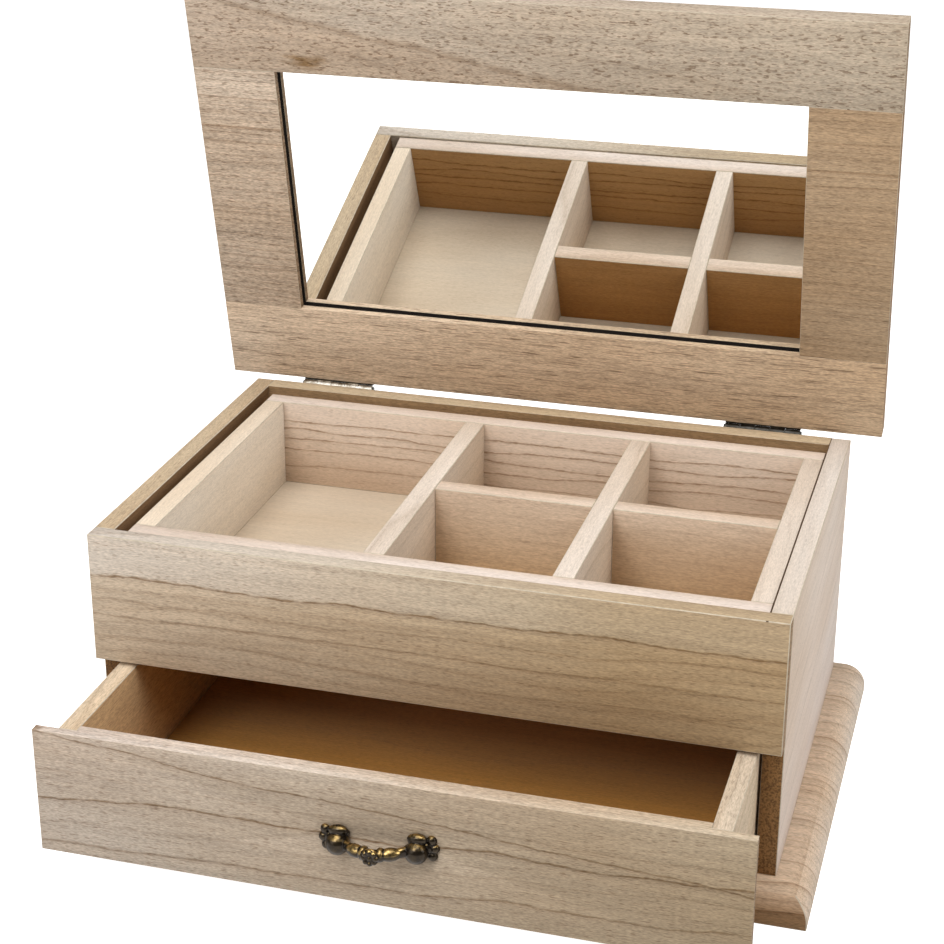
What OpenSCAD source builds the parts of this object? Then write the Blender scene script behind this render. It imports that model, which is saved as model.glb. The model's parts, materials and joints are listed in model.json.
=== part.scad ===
// Vanity box with a mirror lid, a loose divided tray and one drawer
// Raw pale wood, metal hinges and a cast pull. Millimetres.
// Origin at the middle of the underside of the base, +Z up, front towards -Y.
// It is drawn with the lid propped open and the drawer part way out.

/* [Base] */
// Width of the base board
base_w = 320; // [316:1:360]
// Thickness of the base board
base_t = 13; // [8:0.5:20]
// Radius of the rounded edge along the front and both sides
base_round = 10; // [1:0.5:11.5]
// How far the base stands out in front of the case
base_front = 7.5; // [6:0.5:20]
// How far the base stands out behind the case
base_back = 5; // [0:0.5:20]

/* [Case] */
// Width of the case
case_w = 290; // [270:1:310]
// Depth of the case over its front and back
case_d = 193.5; // [180:0.5:240]
// Height of the case above the base
case_h = 117.3; // [108:0.1:140]
// Thickness of the two sides
side_t = 8.8; // [6:0.1:11]
// Thickness of the back
back_t = 9; // [8:0.1:11]
// Thickness of the upper front, which covers the ends of the sides
front_t = 8; // [6:0.1:10]
// Height of the upper front
front_h = 57.5; // [52:0.5:58]
// Thickness of the shelf under the tray
shelf_t = 9; // [4:0.5:9]

/* [Tray] */
// Height of the tray over its floor and walls
tray_h = 45.3; // [36:0.1:46]
// How far the tray's top lies below the rim of the case
tray_drop = 0.8; // [0.5:0.1:5]
// Play between the tray and the case from side to side
tray_play_x = 5.4; // [1:0.1:8]
// Play between the tray and the case from front to back
tray_play_y = 8.2; // [1:0.1:15]
// Thickness of the tray's walls
tray_wall_t = 9; // [5:0.1:11]
// Thickness of the tray's dividers
divider_t = 9; // [4:0.1:11]
// Thickness of the tray's floor
tray_floor_t = 4; // [2:0.5:6]
// Width of the large compartment on the left
large_cell_w = 91; // [50:1:120]

/* [Lid] */
// Width of the lid
lid_w = 317; // [300:1:340]
// Depth of the lid from its front edge to its hinged edge
lid_d = 200; // [190:1:240]
// Thickness of the lid's frame
lid_t = 9.2; // [9:0.1:14]
// Width of the four frame members round the mirror
frame_w = 39; // [25:0.5:50]
// Angle at which the lid stands open
lid_open = 78.1; // [70:0.1:100]
// Thickness of the lip in front of the mirror
lip_t = 3.4; // [2:0.1:4]
// Thickness of the mirror
mirror_t = 3; // [2:0.1:3]
// Thickness of the board behind the mirror
backing_t = 2.8; // [2:0.1:3]
// How far the mirror reaches behind the lip all round
rebate = 5; // [2:0.5:8]

/* [Drawer] */
// Height of the drawer's front
drawer_front_h = 55.4; // [48:0.1:56]
// Thickness of the drawer's front
drawer_front_t = 8; // [6:0.1:9]
// Thickness left where the front laps over the ends of the sides
lap_t = 4; // [2:0.1:5]
// Depth of the drawer over its front and back
drawer_d = 178; // [160:0.5:178]
// Thickness of the drawer's sides
drawer_side_t = 8; // [5:0.1:9]
// Thickness of the drawer's back
drawer_back_t = 8; // [5:0.1:9]
// Thickness of the drawer's thin bottom
drawer_bottom_t = 3; // [2:0.1:4]
// Height of the groove that holds the bottom, above the lower edge of the sides
groove_z = 5; // [3:0.5:8]
// Depth of that groove
groove_d = 3; // [2:0.5:4]
// How far the drawer is pulled out
drawer_out = 62.9; // [0:0.1:120]

/* [Pull] */
// Distance between the pull's two screws
pull_pitch = 32; // [28:0.5:40]
// How far the pull stands out from the drawer's front
pull_out = 13; // [11:0.5:18]
// Height of the pull's screws above the lower edge of the drawer's front
pull_z = 30; // [20:0.5:35]
// Radius of the dome over each screw of the pull
dome_r = 4; // [3.6:0.1:4.4]
// Radius of the lobes above and below each dome
side_lobe_r = 2.5; // [2:0.1:3]
// Radius of the lobes fanned out at each end of the pull
fan_lobe_r = 2.1; // [1.8:0.1:2.4]
// Lobes in each fan
fan_count = 3; // [2:1:4]
// Width of the rosette in the middle of the pull
rosette_w = 7.2; // [6:0.1:8]
// Petals of the rosette
petal_count = 8; // [6:1:10]
// Radius of the pull's screws
pull_screw_r = 1.5; // [1:0.1:2]

/* [Hinges] */
// Length of each hinge
hinge_l = 35; // [25:1:50]
// Distance from the middle of the box to the middle of each hinge
hinge_x = 104; // [70:1:115]
// Radius of the hinge's barrel
barrel_r = 2; // [1.6:0.1:2.2]
// Knuckles in each barrel
knuckle_count = 5; // [3:2:7]
// Radius of the hinge's pin
pin_r = 0.8; // [0.6:0.1:1]
// Thickness of the leaves
leaf_t = 1; // [0.6:0.1:1.2]
// Reach of each leaf from the pin's axis
leaf_w = 9.3; // [8:0.1:10]
// Height of the pin's axis below the rim of the case
axis_drop = 0.9; // [0:0.1:2]
// Radius of the hinge screws
screw_r = 0.9; // [0.7:0.1:1.1]
// Length of the hinge screws
screw_l = 7.5; // [5:0.5:7.5]

/* [Clearances] */
// Gap between the closed lid and the rim
lid_gap = 0.4; // [0.3:0.1:1]
// Gap between the barrel and the wood that it lies beside
barrel_gap = 0.3; // [0.2:0.1:0.6]
// Gap between the ends of neighbouring knuckles
knuckle_gap = 0.2; // [0.1:0.1:0.4]
// Relief of a leaf's tabs, where the other piece's wood shuts against them
leaf_relief = 0.1; // [0.05:0.05:0.2]
// Running clearance of the pin in the lid's knuckles
pin_gap = 0.05; // [0.02:0.01:0.1]
// Gap between the tray and what it rests on or is pushed against
tray_seat = 0.2; // [0.1:0.1:0.5]
// Gap on each side of the drawer in its bay
drawer_side_gap = 0.9; // [0.5:0.1:2]
// Gap between the drawer's sides and the base that they slide on
drawer_seat = 0.3; // [0.1:0.1:0.5]
// Height of the drawer's front above the base
drawer_front_gap = 2.6; // [1:0.1:4]
// Gap between the drawer's front and the case's sides when it is shut
drawer_stop_gap = 0.2; // [0.1:0.1:0.5]
// Gap all round the mirror in its rebate
mirror_gap = 0.5; // [0.2:0.1:1]
// Clearance of a screw in the hole it passes
hole_gap = 0.1; // [0.05:0.05:0.3]
// Clearance of a screw's thread in the wood or metal that it grips
thread_gap = 0.02; // [0.01:0.01:0.05]

/* [Hidden] */
$fn = 48;
tiny = 0.01;

// Planes of the case
base_d = base_front + case_d + base_back;
base_back_y = base_d / 2;
base_edge_r = min(base_round, 0.9 * base_t);
front_y = -base_d / 2 + base_front;
back_y = front_y + case_d;
rim_z = base_t + case_h;
side_front_y = front_y + front_t;
back_in_y = back_y - back_t;
side_in_x = case_w / 2 - side_t;

// Tray
tray_w = 2 * side_in_x - tray_play_x;
tray_x1 = side_in_x - tray_seat;
tray_x0 = tray_x1 - tray_w;
tray_y0 = side_front_y + tray_seat;
tray_d = back_in_y - side_front_y - tray_play_y;
tray_y1 = tray_y0 + tray_d;
tray_top = rim_z - tray_drop;
tray_z0 = tray_top - tray_h;
tray_in_z = tray_z0 + tray_floor_t;
shelf_z = tray_z0 - tray_seat;
cell_y0 = tray_y0 + tray_wall_t;
cell_y1 = tray_y1 - tray_wall_t;
main_divider_x = tray_x0 + tray_wall_t + large_cell_w;
small_cells_x = main_divider_x + divider_t;
small_cell_w = (tray_x1 - tray_wall_t - small_cells_x - divider_t) / 2;
small_divider_x = small_cells_x + small_cell_w;
last_cell_x = small_divider_x + divider_t;
cross_y = (cell_y0 + cell_y1 - divider_t) / 2;

// Hinges
axis_y = back_y + barrel_gap + barrel_r;
axis_z = rim_z - axis_drop;
leaf_y = barrel_gap + barrel_r;
knuckle_l = hinge_l / knuckle_count;
pin_head_t = 0.6;
pin_head_r = pin_r + 0.5;
screw_head_r = 2 * screw_r;
screw_tip_l = 2;
screw_hole_l = screw_l + 0.2;
screw_x = hinge_l / 2 - knuckle_l;
screw_z = (barrel_r + barrel_gap + leaf_w) / 2;

// Lid, in its closed place
lid_z = rim_z + lid_gap;
lid_front_y = back_y - lid_d;
window_x = lid_w / 2 - frame_w;
window_y0 = lid_front_y + frame_w;
window_y1 = back_y - frame_w;
mirror_z = lid_z + lip_t;

// Drawer, pushed in
drawer_y = side_front_y - drawer_stop_gap - lap_t;
drawer_front_z = base_t + drawer_front_gap;
drawer_top = drawer_front_z + drawer_front_h;
drawer_side_z = base_t + drawer_seat;
drawer_x = side_in_x - drawer_side_gap;
drawer_in_x = drawer_x - drawer_side_t;
drawer_side_y = drawer_y + lap_t;
drawer_in_y = drawer_y + drawer_front_t;
drawer_back_y = drawer_y + drawer_d;
bottom_z = drawer_side_z + groove_z;
groove_gap = 0.1;
pull_height = drawer_front_z + pull_z;

// Pull
bow_t = 3.2;
bow_h = 4.2;
rosette_lift = 1;
petal_r = 0.17 * rosette_w;
petal_ring = rosette_w / 2 - petal_r;
bow_rise = pull_out - bow_t / 2 - rosette_lift - petal_r;
bow_r = (pow(pull_pitch / 2, 2) + pow(bow_rise, 2)) / (2 * bow_rise);
bow_half_angle = asin(pull_pitch / 2 / bow_r);
leaf_l = 11;
leaf_r = 2.7;
leaf_angle = 22;
collar_l = 2.4;
collar_r = 2.9;
collar_angle = 10.5;
neck_angle = 0.6 * bow_half_angle;
neck_bend = (bow_half_angle - neck_angle) / 2;
neck_l = 2 * bow_r * sin(neck_bend);
neck_r = 0.85 * dome_r;
dome_sink = 0.3 * dome_r;
side_lobe_z = dome_r - 0.2 * side_lobe_r;
inner_lobe_r = 0.6 * side_lobe_r;
inner_lobe_angle = 138;
fan_ring = dome_r + 1.2 * fan_lobe_r;
fan_angle = 64;
pull_hole = 2;
pull_screw_l = drawer_front_t + pull_hole - 0.2;
pull_head_t = 1.9;
pull_head_r = 3.3;

module block(x0, x1, y0, y1, z0, z1) {
    translate([x0, y0, z0])
        cube([x1 - x0, y1 - y0, z1 - z0]);
}

// Profile of a board seen from its end, with the upper right corner rounded
module nosing(w, t, r) {
    square([w - r, t]);
    square([w, t - r]);
    translate([w - r, t - r])
        intersection() {
            circle(r);
            square(r);
        }
}

// The lid's pieces are drawn shut and turned about the pin
module open_lid() {
    translate([0, axis_y, axis_z])
        rotate([-lid_open, 0, 0])
            translate([0, -axis_y, -axis_z])
                children();
}

// The drawer's pieces are drawn pushed in and moved forward
module pulled_out() {
    translate([0, -drawer_out, 0])
        children();
}

// Base and case

module base_board() {
    color("burlywood")
        intersection() {
            translate([0, base_back_y, 0])
                rotate([90, 0, 0])
                    linear_extrude(base_d)
                        union() {
                            nosing(base_w / 2, base_t, base_edge_r);
                            mirror([1, 0])
                                nosing(base_w / 2, base_t, base_edge_r);
                        }
            translate([base_w / 2, base_back_y, 0])
                rotate([90, 0, -90])
                    linear_extrude(base_w)
                        nosing(base_d, base_t, base_edge_r);
        }
}

module case_side(side) {
    color("wheat")
        mirror([side < 0 ? 1 : 0, 0, 0])
            block(side_in_x, case_w / 2, side_front_y, back_y, base_t, rim_z);
}

module back_panel() {
    color("tan")
        difference() {
            block(-side_in_x, side_in_x, back_in_y, back_y, base_t, rim_z);
            translate([0, axis_y, axis_z])
                hinge_screw_holes(-1);
        }
}

module front_panel() {
    color("burlywood")
        block(-case_w / 2, case_w / 2, front_y, side_front_y, rim_z - front_h, rim_z);
}

module shelf() {
    color("wheat")
        block(-side_in_x, side_in_x, side_front_y, back_in_y, shelf_z - shelf_t, shelf_z);
}

// Hinges

// Middle of each knuckle that one leaf owns: 0 for the outer ones, 1 for the others
function knuckle_xs(first) =
    [for (k = [first:2:knuckle_count - 1]) (k + 0.5) * knuckle_l - hinge_l / 2];

module x_rod(r, l) {
    rotate([0, 90, 0])
        cylinder(r = r, h = l, center = true);
}

// One leaf about the pin's axis: it runs up the wood, or down it with up = -1
module hinge_leaf(first, up, bore) {
    color("silver")
        difference() {
            union() {
                turned(up)
                    block(-hinge_l / 2, hinge_l / 2, -leaf_y, -leaf_y + leaf_t,
                          barrel_r + barrel_gap, leaf_w);
                for (x = knuckle_xs(first))
                    translate([x, 0, 0]) {
                        x_rod(barrel_r, knuckle_l - knuckle_gap);
                        turned(up)
                            block(-(knuckle_l - knuckle_gap) / 2, (knuckle_l - knuckle_gap) / 2,
                                  -leaf_y + leaf_relief, -leaf_y + leaf_t,
                                  0, barrel_r + 2 * barrel_gap);
                    }
            }
            x_rod(bore, hinge_l + 1);
            hinge_screws_at(up)
                leaf_hole();
        }
}

// Turns a leaf over, to run down the wood, with up = -1
module turned(up) {
    mirror([0, 0, up < 0 ? 1 : 0])
        children();
}

module leaf_hole() {
    y_cone(screw_r + hole_gap, screw_head_r + hole_gap, leaf_t);
    y_rod(screw_r + hole_gap, -1, leaf_t + 1);
}

// Rod and cone along Y, from y0 to y1
module y_rod(r, y0, y1) {
    translate([0, y0, 0])
        rotate([-90, 0, 0])
            cylinder(r = r, h = y1 - y0);
}

module y_cone(r0, r1, h) {
    rotate([-90, 0, 0])
        cylinder(r1 = r0, r2 = r1, h = h);
}

// Puts its children at the two screws of one leaf, on the face of the wood
module hinge_screws_at(up) {
    for (x = [-screw_x, screw_x])
        translate([x, -leaf_y, up * screw_z])
            children();
}

module hinge_screw_holes(up) {
    for (side = [-1, 1])
        translate([side * hinge_x, 0, 0])
            hinge_screws_at(up)
                y_rod(screw_r + thread_gap, -screw_hole_l, 1);
}

// Countersunk wood screw with its head in the leaf and its point in the wood
module hinge_screw() {
    y_rod(screw_r, -screw_l + screw_tip_l, tiny);
    translate([0, -screw_l, 0])
        y_cone(0.1, screw_r, screw_tip_l + tiny);
    y_cone(screw_r, screw_head_r, leaf_t);
}

module hinge_screws(up) {
    color("gray")
        for (side = [-1, 1])
            translate([side * hinge_x, 0, 0])
                hinge_screws_at(up)
                    hinge_screw();
}

module case_leaf(side) {
    translate([side * hinge_x, axis_y, axis_z])
        hinge_leaf(0, -1, pin_r + thread_gap);
}

module lid_leaf(side) {
    open_lid()
        translate([side * hinge_x, axis_y, axis_z])
            hinge_leaf(1, 1, pin_r + pin_gap);
}

// Pins with a small round head on each end
module hinge_pins() {
    color("gray")
        for (side = [-1, 1])
            translate([side * hinge_x, axis_y, axis_z]) {
                x_rod(pin_r, hinge_l);
                for (end = [-1, 1])
                    translate([end * (hinge_l + pin_head_t) / 2, 0, 0])
                        x_rod(pin_head_r, pin_head_t);
            }
}

module case_hinge_screws() {
    translate([0, axis_y, axis_z])
        hinge_screws(-1);
}

// Tray

module tray_front_wall() {
    color("bisque")
        block(tray_x0, tray_x1, tray_y0, cell_y0, tray_in_z, tray_top);
}

module tray_back_wall() {
    color("bisque")
        block(tray_x0, tray_x1, cell_y1, tray_y1, tray_in_z, tray_top);
}

module tray_left_wall() {
    color("antiquewhite")
        block(tray_x0, tray_x0 + tray_wall_t, cell_y0, cell_y1, tray_in_z, tray_top);
}

module tray_right_wall() {
    color("antiquewhite")
        block(tray_x1 - tray_wall_t, tray_x1, cell_y0, cell_y1, tray_in_z, tray_top);
}

module tray_floor() {
    color("burlywood")
        block(tray_x0, tray_x1, tray_y0, tray_y1, tray_z0, tray_in_z);
}

module tray_divider(x) {
    color("antiquewhite")
        block(x, x + divider_t, cell_y0, cell_y1, tray_in_z, tray_top);
}

module tray_cross(x) {
    color("bisque")
        block(x, x + small_cell_w, cross_y, cross_y + divider_t, tray_in_z, tray_top);
}

// Lid

// Space that the mirror and the board behind it take out of the frame
module rebate_space() {
    block(-window_x - rebate, window_x + rebate, window_y0 - rebate, window_y1 + rebate,
          mirror_z, lid_z + lid_t + 1);
}

module lid_rail(y0) {
    difference() {
        block(-lid_w / 2, lid_w / 2, y0, y0 + frame_w, lid_z, lid_z + lid_t);
        rebate_space();
    }
}

module lid_front_rail() {
    color("tan")
        open_lid()
            lid_rail(lid_front_y);
}

module lid_back_rail() {
    color("tan")
        open_lid()
            difference() {
                lid_rail(window_y1);
                translate([0, axis_y, axis_z])
                    hinge_screw_holes(1);
            }
}

module lid_stile(side) {
    color("burlywood")
        open_lid()
            mirror([side < 0 ? 1 : 0, 0, 0])
                difference() {
                    block(window_x, lid_w / 2, window_y0, window_y1, lid_z, lid_z + lid_t);
                    rebate_space();
                }
}

// Plate that fills the rebate, less a gap all round, between two heights
module rebate_plate(z0, z1, gap) {
    edge = rebate - gap;
    block(-window_x - edge, window_x + edge, window_y0 - edge, window_y1 + edge, z0, z1);
}

module mirror_glass() {
    color("lightsteelblue")
        open_lid()
            rebate_plate(mirror_z, mirror_z + mirror_t, mirror_gap);
}

module lid_backing() {
    color("wheat")
        open_lid()
            rebate_plate(mirror_z + mirror_t, mirror_z + mirror_t + backing_t, 0);
}

module lid_hinge_screws() {
    open_lid()
        translate([0, axis_y, axis_z])
            hinge_screws(1);
}

// Drawer

// Board with rebated ends, so that it laps over the drawer's sides
module drawer_front() {
    color("tan")
        pulled_out()
            difference() {
                block(-case_w / 2, case_w / 2, drawer_y, drawer_in_y, drawer_front_z, drawer_top);
                for (side = [-1, 1])
                    mirror([side < 0 ? 1 : 0, 0, 0])
                        block(drawer_in_x, case_w, drawer_side_y, drawer_in_y + 1, 0, drawer_top + 1);
                bottom_groove();
                for (side = [-1, 1])
                    translate([side * pull_pitch / 2, drawer_y, pull_height])
                        y_rod(pull_screw_r + hole_gap, -1, drawer_front_t + 1);
            }
}

// Groove for the thin bottom, cut into the front, the sides and the back
module bottom_groove() {
    block(-drawer_in_x - groove_d, drawer_in_x + groove_d,
          drawer_in_y - groove_d, drawer_back_y - drawer_back_t + groove_d,
          bottom_z, bottom_z + drawer_bottom_t + groove_gap);
}

module drawer_side(side) {
    color("wheat")
        pulled_out()
            difference() {
                mirror([side < 0 ? 1 : 0, 0, 0])
                    block(drawer_in_x, drawer_x, drawer_side_y, drawer_back_y,
                          drawer_side_z, drawer_top);
                bottom_groove();
            }
}

module drawer_back() {
    color("tan")
        pulled_out()
            difference() {
                block(-drawer_in_x, drawer_in_x, drawer_back_y - drawer_back_t, drawer_back_y,
                      drawer_side_z, drawer_top);
                bottom_groove();
            }
}

module drawer_bottom() {
    color("peru")
        pulled_out()
            block(-drawer_in_x - groove_d + groove_gap, drawer_in_x + groove_d - groove_gap,
                  drawer_in_y - groove_d + groove_gap,
                  drawer_back_y - drawer_back_t + groove_d - groove_gap,
                  bottom_z, bottom_z + drawer_bottom_t);
}

// Cast pull, drawn about the middle of its back, standing out towards -Y

// Section of the bow, an upright oblong with round ends
module bow_section() {
    square([bow_t, bow_h - bow_t], center = true);
    for (end = [-1, 1])
        translate([0, end * (bow_h - bow_t) / 2])
            circle(bow_t / 2, $fn = 24);
}

// Arc between the two ends, seen from above
module bow() {
    translate([0, bow_r - bow_rise, 0])
        rotate([0, 0, -90 - bow_half_angle])
            rotate_extrude(angle = 2 * bow_half_angle, $fn = 96)
                translate([bow_r, 0])
                    bow_section();
}

// Places its children on the bow, at an angle from its middle, facing outwards
module on_bow(angle) {
    translate([0, bow_r - bow_rise, 0])
        rotate([0, 0, angle])
            translate([0, -bow_r, 0])
                children();
}

// Leaf-shaped swelling of the bow on either side of the rosette
module bow_leaf(l, r) {
    bend_r = (l * l / 4 + r * r) / (2 * r);
    rotate([0, 90, 0])
        rotate_extrude($fn = 24)
            intersection() {
                translate([r - bend_r, 0])
                    circle(bend_r, $fn = 96);
                translate([0, -l / 2])
                    square([r, l]);
            }
}

// Neck that flares from the bow to the dome
module bow_neck() {
    rotate([0, 0, neck_bend])
        rotate([0, 90, 0])
            cylinder(h = neck_l, r1 = bow_t / 2, r2 = neck_r, $fn = 32);
}

// Dome between two large lobes, with a fan of lobes on its outer side
module pull_end() {
    translate([0, dome_sink, 0])
        sphere(dome_r, $fn = 32);
    translate([fan_ring / 2, dome_sink / 2, 0])
        sphere(fan_ring / 2, $fn = 32);
    for (k = [0:fan_count - 1])
        on_ring(fan_ring, -fan_angle / 2 + fan_angle * k / (fan_count - 1))
            sphere(fan_lobe_r, $fn = 20);
    for (up = [-1, 1]) {
        translate([0, 0, up * side_lobe_z])
            sphere(side_lobe_r, $fn = 24);
        on_ring(dome_r, up * inner_lobe_angle)
            sphere(inner_lobe_r, $fn = 20);
    }
}

// Places its children on a ring that stands upright against the drawer's front
module on_ring(r, angle) {
    rotate([0, angle, 0])
        translate([r, 0, 0])
            children();
}

// Round flower in the middle: a disc, a ring of petals and a bead in the centre
module rosette() {
    y_rod(petal_ring, -rosette_lift, 1);
    translate([0, -rosette_lift, 0]) {
        for (k = [0:petal_count - 1])
            on_ring(petal_ring, 360 * k / petal_count)
                sphere(petal_r, $fn = 16);
        sphere(petal_r, $fn = 16);
    }
}

module pull_shape() {
    difference() {
        union() {
            bow();
            for (side = [-1, 1]) {
                translate([side * pull_pitch / 2, 0, 0])
                    mirror([side < 0 ? 1 : 0, 0, 0])
                        pull_end();
                mirror([side < 0 ? 1 : 0, 0, 0])
                    on_bow(neck_angle)
                        bow_neck();
                on_bow(side * leaf_angle)
                    bow_leaf(leaf_l, leaf_r);
                on_bow(side * collar_angle)
                    bow_leaf(collar_l, collar_r);
            }
            on_bow(0)
                translate([0, -bow_t / 2, 0])
                    rosette();
        }
        block(-pull_pitch, pull_pitch, 0, pull_pitch, -pull_pitch, pull_pitch);
        for (side = [-1, 1])
            translate([side * pull_pitch / 2, 0, 0])
                y_rod(pull_screw_r + thread_gap, -pull_hole, 1);
    }
}

module drawer_pull() {
    color("darkgoldenrod")
        pulled_out()
            translate([0, drawer_y, pull_height])
                pull_shape();
}

// Screws from inside the drawer, with domed heads
module pull_screws() {
    color("gray")
        pulled_out()
            for (side = [-1, 1])
                translate([side * pull_pitch / 2, drawer_in_y, pull_height]) {
                    y_rod(pull_screw_r, -pull_screw_l, tiny);
                    intersection() {
                        y_rod(2 * pull_screw_r, 0, pull_head_t);
                        translate([0, pull_head_t - pull_head_r, 0])
                            sphere(pull_head_r, $fn = 32);
                    }
                }
}

base_board();
case_side(-1);  // left_side
case_side(1);  // right_side
back_panel();
front_panel();
shelf();
case_leaf(-1);  // hinge_left_case_leaf
case_leaf(1);  // hinge_right_case_leaf
hinge_pins();
case_hinge_screws();
tray_front_wall();
tray_back_wall();
tray_left_wall();
tray_right_wall();
tray_floor();
tray_divider(main_divider_x);  // tray_main_divider
tray_divider(small_divider_x);  // tray_small_divider
tray_cross(small_cells_x);  // tray_cross_left
tray_cross(last_cell_x);  // tray_cross_right
lid_front_rail();
lid_back_rail();
lid_stile(-1);  // lid_left_stile
lid_stile(1);  // lid_right_stile
lid_backing();
mirror_glass();  // mirror
lid_leaf(-1);  // hinge_left_lid_leaf
lid_leaf(1);  // hinge_right_lid_leaf
lid_hinge_screws();
drawer_front();
drawer_side(-1);  // drawer_left_side
drawer_side(1);  // drawer_right_side
drawer_back();
drawer_bottom();
drawer_pull();
pull_screws();
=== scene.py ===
import json
import math

import bmesh
import bpy
from bpy.props import FloatProperty, FloatVectorProperty, PointerProperty
from mathutils import Matrix, Vector


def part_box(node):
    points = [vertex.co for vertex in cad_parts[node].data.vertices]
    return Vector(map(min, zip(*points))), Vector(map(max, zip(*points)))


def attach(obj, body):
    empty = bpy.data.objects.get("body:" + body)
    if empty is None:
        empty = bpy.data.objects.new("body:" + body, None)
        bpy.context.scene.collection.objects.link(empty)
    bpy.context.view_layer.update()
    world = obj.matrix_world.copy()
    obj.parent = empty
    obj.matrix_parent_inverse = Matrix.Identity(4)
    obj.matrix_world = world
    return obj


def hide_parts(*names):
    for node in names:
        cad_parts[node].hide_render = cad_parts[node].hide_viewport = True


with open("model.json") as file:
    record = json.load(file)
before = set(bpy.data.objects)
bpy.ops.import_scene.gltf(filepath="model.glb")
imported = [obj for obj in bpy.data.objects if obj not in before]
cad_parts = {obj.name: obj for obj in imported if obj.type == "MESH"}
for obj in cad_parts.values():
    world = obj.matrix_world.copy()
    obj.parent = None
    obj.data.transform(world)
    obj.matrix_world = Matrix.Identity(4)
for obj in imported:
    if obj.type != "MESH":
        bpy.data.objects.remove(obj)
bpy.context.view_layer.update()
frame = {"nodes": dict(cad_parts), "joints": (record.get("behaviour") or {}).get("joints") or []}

bl_info = {
    "name": "Vanity box with a mirror lid",
    "version": (1, 0, 0),
    "blender": (4, 5, 0),
    "location": "View3D > Sidebar > Vanity Box",
    "description": "Dresses a raw wooden vanity box with its tray, drawer, mirror and hardware",
    "category": "Object",
}

# Boards of each part of the box: node, direction of the grain, seed of its own figure
CASE_BOARDS = [
    ("base_board", "X", 11), ("left_side", "Y", 2), ("right_side", "Y", 31),
    ("back_panel", "X", 4), ("front_panel", "X", 5), ("shelf", "X", 6),
]
TRAY_BOARDS = [
    ("tray_front_wall", "X", 7), ("tray_back_wall", "X", 8), ("tray_left_wall", "Y", 9),
    ("tray_right_wall", "Y", 10), ("tray_main_divider", "Y", 12), ("tray_small_divider", "Y", 13),
    ("tray_cross_left", "X", 14), ("tray_cross_right", "X", 15),
]
LID_BOARDS = [
    ("lid_front_rail", "X", 16), ("lid_back_rail", "X", 17),
    ("lid_left_stile", "X", 18), ("lid_right_stile", "X", 19),
]
DRAWER_BOARDS = [
    ("drawer_front", "X", 20), ("drawer_left_side", "Y", 21), ("drawer_right_side", "Y", 22),
    ("drawer_back", "X", 23),
]
HINGE_NODES = [
    "hinge_left_case_leaf", "hinge_right_case_leaf", "hinge_left_lid_leaf",
    "hinge_right_lid_leaf", "hinge_pins",
]
SCREW_NODES = ["case_hinge_screws", "lid_hinge_screws", "pull_screws"]

# Sizes in metres that the pieces added here share with the real hardware
PULL_SCREW_X = 0.016
MIRROR_LIP = 0.0045
FLOOR_DROP = 0.0003

# What dark figure multiplies the wood's colour by, the near black painted shade for the eased edges
# beside the gap between the tray and the right side, and the brown of dull steel
VEIN_SHADE = (0.46, 0.37, 0.28, 1)
KNOT_SHADE = (0.52, 0.41, 0.26, 1)
GAP_PAINTED_SHADE = (0.10, 0.065, 0.04, 1)
DULL_STEEL = (0.30, 0.24, 0.17)
PLAIN = (1, 1, 1, 1)


# Sizes and colours that a user would change

class VanityWoodSettings(bpy.types.PropertyGroup):
    pale: FloatVectorProperty(
        name="Pale wood", description="Colour of the freshly sanded wood",
        subtype="COLOR", size=3, min=0, max=1, default=(0.62, 0.52, 0.40))
    warm: FloatVectorProperty(
        name="Warm wood", description="Colour of the warmer streaks",
        subtype="COLOR", size=3, min=0, max=1, default=(0.54, 0.42, 0.295))
    ring: FloatVectorProperty(
        name="Ring lines", description="Colour of the dark lines between the year rings",
        subtype="COLOR", size=3, min=0, max=1, default=(0.27, 0.175, 0.10))
    pore: FloatVectorProperty(
        name="Pores", description="Colour of the short dark pore dashes",
        subtype="COLOR", size=3, min=0, max=1, default=(0.17, 0.105, 0.06))
    cut: FloatVectorProperty(
        name="Eased edges", description="Colour of the eased edges, where the wood is freshly cut",
        subtype="COLOR", size=3, min=0, max=1, default=(0.57, 0.485, 0.37))
    thin_board: FloatVectorProperty(
        name="Thin board", description="Colour of the drawer's thin bottom",
        subtype="COLOR", size=3, min=0, max=1, default=(0.57, 0.30, 0.078))
    edge: FloatProperty(
        name="Eased edge", description="Width of the eased edges of the boards",
        unit="LENGTH", min=0.0001, max=0.0012, default=0.00035)


class VanityMetalSettings(bpy.types.PropertyGroup):
    patina: FloatVectorProperty(
        name="Patina", description="Dark colour in the hollows of the cast pull",
        subtype="COLOR", size=3, min=0, max=1, default=(0.016, 0.011, 0.007))
    rubbed: FloatVectorProperty(
        name="Rubbed bronze", description="Bright colour where the cast pull is rubbed",
        subtype="COLOR", size=3, min=0, max=1, default=(0.60, 0.40, 0.14))
    plated: FloatVectorProperty(
        name="Plated steel", description="Colour of the hinges",
        subtype="COLOR", size=3, min=0, max=1, default=(0.42, 0.40, 0.36))
    pull_tilt: FloatProperty(
        name="Pull's tilt", description="How far the pull is screwed on crooked, left end lower",
        unit="ROTATION", min=-0.1, max=0.1, default=math.radians(2.8))
    voxel: FloatProperty(
        name="Casting detail", description="Size of the cells in which the cast pull is blended",
        unit="LENGTH", min=0.0001, max=0.0006, default=0.00022)


class VanityMirrorSettings(bpy.types.PropertyGroup):
    silver: FloatVectorProperty(
        name="Silvering", description="Colour of the mirror's silvering",
        subtype="COLOR", size=3, min=0, max=1, default=(0.93, 0.94, 0.93))
    depth: FloatProperty(
        name="Depth", description="How deep the silvering lies behind the face of the glass",
        unit="LENGTH", min=0.0005, max=0.0028, default=0.0018)


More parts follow.
